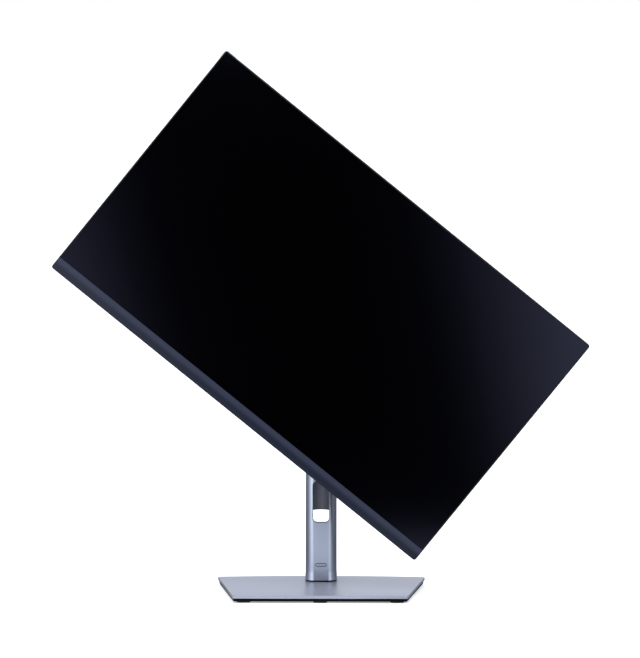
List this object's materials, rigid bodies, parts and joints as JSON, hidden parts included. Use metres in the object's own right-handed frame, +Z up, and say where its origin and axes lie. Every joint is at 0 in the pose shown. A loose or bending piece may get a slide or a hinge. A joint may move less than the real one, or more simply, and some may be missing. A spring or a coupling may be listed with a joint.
{
  "type": "computer monitor",
  "caption": "Flat computer monitor on a slim upright riser and flat trapezoid base, with swivel, height, tilt and pivot joints, stored pivoted part way between landscape and portrait.",
  "frame": {"origin": "on the desk, under the centre of the base's footprint", "axes": "+Z up, +X to the viewer's right, +Y away from the viewer, so the screen faces -Y"},
  "size_m": [0.6168, 0.1796, 0.6303],
  "materials": {
    "base_plate": "fine satin silver paint",
    "base_under_cover": "moulded, light texture",
    "base_feet": "soft pads",
    "under_cover_screws": "blackened",
    "swivel_bush": "natural acetal",
    "thumb_screw": "zinc plated",
    "thumb_screw_ring": "zinc plated",
    "swivel_spindle": "die cast",
    "swivel_retainer": "zinc plated",
    "swivel_washer": "spring steel",
    "riser_front_shell": "fine satin silver paint",
    "riser_rear_cover": "fine satin silver paint",
    "riser_top_cap": "silver painted plastic",
    "riser_foot_gasket": "dark strip",
    "rail_frame": "folded sheet",
    "cable_passage_liner": "grey moulded",
    "blank_badge": "blank printed outline",
    "lift_spring_strips": "spring steel",
    "carriage": "die cast",
    "glide_shoes": "acetal",
    "spring_axle": "turned",
    "tilt_axle": "turned",
    "tilt_washers": "spring steel",
    "tilt_nuts": "zinc plated",
    "spring_drum": "rolled spring steel",
    "tilt_bracket": "zinc plated",
    "pivot_shaft": "turned",
    "pivot_nut": "zinc plated",
    "pivot_washer": "friction washer",
    "head_cover_upper": "fine texture",
    "head_cover_lower": "fine texture",
    "pivot_disc": "zinc plated",
    "mount_plate": "zinc plated sheet",
    "plate_screws": "zinc plated",
    "chin_trim": "slate satin",
    "screen_rim": "black satin",
    "lcd_glass": "anti-glare film, switched off",
    "optical_sheets": "diffuser film",
    "light_guide": "clear acrylic",
    "panel_tray": "pressed sheet",
    "led_strip": "white circuit strip",
    "rear_cover": "fine spark texture",
    "vesa_bracket": "zinc plated sheet",
    "board_shield": "pressed sheet",
    "main_board": "green solder mask",
    "power_board": "tan circuit board",
    "main_components": "moulded chips",
    "ac_inlet": "moulded",
    "hdmi_socket": "plated shell",
    "display_socket": "plated shell",
    "usb_b_socket": "plated shell",
    "usb_a_sockets": "plated shell",
    "ribbon_cable": "white film",
    "control_board": "green solder mask",
    "release_button": "moulded",
    "latch": "spring steel",
    "power_button": "moulded",
    "joystick_ring": "moulded",
    "joystick_stem": "moulded",
    "joystick_cap": "ribbed cap"
  },
  "bodies": {
    "base": {"base_plate": "base_plate", "base_under_cover": "base_under_cover", "base_feet": "base_feet", "under_cover_screws": "under_cover_screws", "swivel_bush": "swivel_bush"},
    "thumb_screw": {"thumb_screw": "thumb_screw"},
    "thumb_ring": {"thumb_screw_ring": "thumb_screw_ring"},
    "riser": {"swivel_spindle": "swivel_spindle", "swivel_retainer": "swivel_retainer", "swivel_washer": "swivel_washer", "riser_front_shell": "riser_front_shell", "riser_rear_cover": "riser_rear_cover", "riser_top_cap": "riser_top_cap", "riser_foot_gasket": "riser_foot_gasket", "rail_frame": "rail_frame", "cable_passage_liner": "cable_passage_liner", "blank_badge": "blank_badge", "lift_spring_strips": "lift_spring_strips"},
    "carriage": {"carriage": "carriage", "glide_shoes": "glide_shoes", "spring_axle": "spring_axle", "tilt_axle": "tilt_axle", "tilt_washers": "tilt_washers", "tilt_nuts": "tilt_nuts"},
    "spring_drum": {"spring_drum": "spring_drum"},
    "head": {"tilt_bracket": "tilt_bracket", "pivot_shaft": "pivot_shaft", "pivot_nut": "pivot_nut", "pivot_washer": "pivot_washer", "head_cover_upper": "head_cover_upper", "head_cover_lower": "head_cover_lower"},
    "display": {"pivot_disc": "pivot_disc", "mount_plate": "mount_plate", "plate_screws": "plate_screws", "chin_trim": "chin_trim", "screen_rim": "screen_rim", "lcd_glass": "lcd_glass", "optical_sheets": "optical_sheets", "light_guide": "light_guide", "panel_tray": "panel_tray", "led_strip": "led_strip", "rear_cover": "rear_cover", "vesa_bracket": "vesa_bracket", "board_shield": "board_shield", "main_board": "main_board", "power_board": "power_board", "main_components": "main_components", "ac_inlet": "ac_inlet", "hdmi_socket": "hdmi_socket", "display_socket": "display_socket", "usb_b_socket": "usb_b_socket", "usb_a_sockets": "usb_a_sockets", "ribbon_cable": "ribbon_cable", "control_board": "control_board"},
    "release_button": {"release_button": "release_button"},
    "latch": {"latch": "latch"},
    "power_button": {"power_button": "power_button"},
    "joystick_ring": {"joystick_ring": "joystick_ring"},
    "joystick_stem": {"joystick_stem": "joystick_stem"},
    "joystick_cap": {"joystick_cap": "joystick_cap"}
  },
  "joints": [
    {"name": "swivel", "type": "hinge", "parent": "base", "child": "riser", "pos_m": [0, 0.0538, 0.01], "axis": [0, 0, 1], "range_deg": [-45, 45]},
    {"name": "thumb_screw_turn", "type": "hinge", "parent": "riser", "child": "thumb_screw", "pos_m": [0, 0.0538, 0.006], "axis": [0, 0, 1], "continuous": true},
    {"name": "thumb_ring_fold", "type": "hinge", "parent": "thumb_screw", "child": "thumb_ring", "pos_m": [0, 0.0485, 0.0042], "axis": [1, 0, 0], "range_deg": [-95, 0]},
    {"name": "height", "type": "slide", "parent": "riser", "child": "carriage", "axis": [0, 0, 1], "range_m": [-0.034, 0], "deforming": ["lift_spring_strips"]},
    {"name": "spring_unroll", "type": "hinge", "parent": "carriage", "child": "spring_drum", "pos_m": [0, 0.05675, 0.305], "axis": [1, 0, 0], "range_deg": [0, 289]},
    {"name": "tilt", "type": "hinge", "parent": "carriage", "child": "head", "pos_m": [0, 0.016, 0.338], "axis": [-1, 0, 0], "range_deg": [-5, 21]},
    {"name": "pivot", "type": "hinge", "parent": "head", "child": "display", "pos_m": [0, 0, 0.338], "axis": [0, 1, 0], "range_deg": [-129, 51]},
    {"name": "release_press", "type": "slide", "parent": "display", "child": "release_button", "axis": [0, -1, 0], "range_m": [0, 0.0025], "stiffness_N_per_m": 600},
    {"name": "latch_slide", "type": "slide", "parent": "display", "child": "latch", "axis": [-0.6293, 0, -0.7771], "range_m": [0, 0.0022]},
    {"name": "power_press", "type": "slide", "parent": "display", "child": "power_button", "axis": [0, -1, 0], "range_m": [0, 0.001], "stiffness_N_per_m": 800},
    {"name": "joystick_side", "type": "hinge", "parent": "display", "child": "joystick_ring", "pos_m": [0.11292, -0.0408, 0.10244], "axis": [0.6293, 0, 0.7771], "range_deg": [-8, 8], "stiffness_Nm_per_rad": 0.02},
    {"name": "joystick_updown", "type": "hinge", "parent": "joystick_ring", "child": "joystick_stem", "pos_m": [0.11292, -0.0408, 0.10244], "axis": [0.7771, 0, -0.6293], "range_deg": [-8, 8], "stiffness_Nm_per_rad": 0.02},
    {"name": "joystick_press", "type": "slide", "parent": "joystick_stem", "child": "joystick_cap", "axis": [0, -1, 0], "range_m": [0, 0.0007], "stiffness_N_per_m": 800}
  ],
  "couplings": [
    {"joint": "spring_unroll", "follows": "height", "rad_per_m": -148.15},
    {"joint": "latch_slide", "follows": "release_press", "ratio": 0.88}
  ]
}
